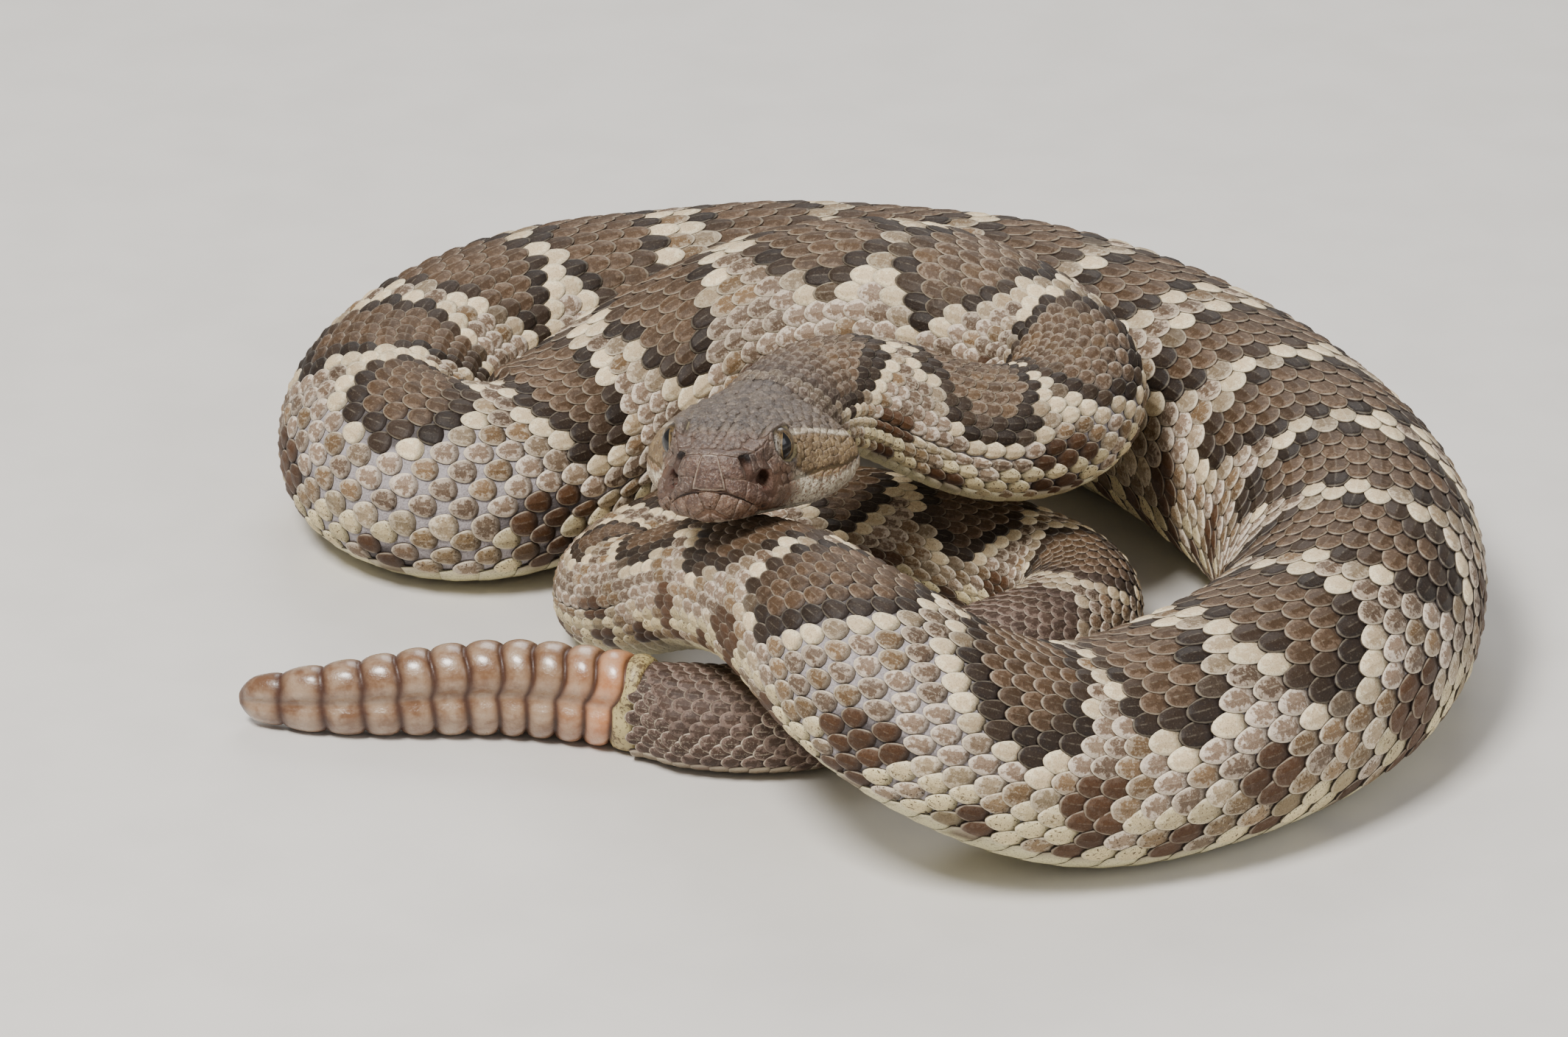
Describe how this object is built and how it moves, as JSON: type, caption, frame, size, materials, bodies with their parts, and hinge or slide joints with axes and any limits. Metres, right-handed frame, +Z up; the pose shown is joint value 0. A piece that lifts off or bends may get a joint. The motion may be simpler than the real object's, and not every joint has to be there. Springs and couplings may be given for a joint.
{
  "type": "life-size model of a coiled pacific rattlesnake",
  "caption": "Coiled rattlesnake at life size, resting on its own coils with the chin on a body band, the neck looped behind the head and the rattle lying on its edge.",
  "frame": {"origin": "on the floor under the middle of the coiled animal's bounding box", "axes": "+Z up; the head faces -Y and a little towards -X; the rattle points to -X"},
  "size_m": [0.1814, 0.1894, 0.0515],
  "materials": {
    "head": "scaled skin, reddish brown snout and grey-brown crown",
    "lower_jaw": "scaled skin, brown chin and cream lips",
    "neck": "keeled scales over grey skin",
    "neck_bend": "keeled scales over grey skin",
    "fore_body": "keeled scales over grey skin",
    "left_bend": "keeled scales over grey skin",
    "back_body": "keeled scales with dark blotches",
    "right_back": "keeled scales with dark blotches",
    "right_bend": "keeled scales with dark blotches",
    "front_body": "keeled scales with dark blotches",
    "crossing": "keeled scales with dark blotches",
    "low_bend": "keeled scales with dark bands",
    "rear_body": "keeled scales with dark bands",
    "tail": "dark grey-brown keeled scales",
    "eye_left": "wet eye with an upright slit pupil",
    "eye_right": "wet eye with an upright slit pupil",
    "rattle": "translucent tan-brown keratin"
  },
  "bodies": {
    "root": {"head": "head", "lower_jaw": "lower_jaw", "neck": "neck", "neck_bend": "neck_bend", "fore_body": "fore_body", "left_bend": "left_bend", "back_body": "back_body", "right_back": "right_back", "right_bend": "right_bend", "front_body": "front_body", "crossing": "crossing", "low_bend": "low_bend", "rear_body": "rear_body", "tail": "tail", "eye_left": "eye_left", "eye_right": "eye_right", "rattle": "rattle"}
  },
  "joints": []
}
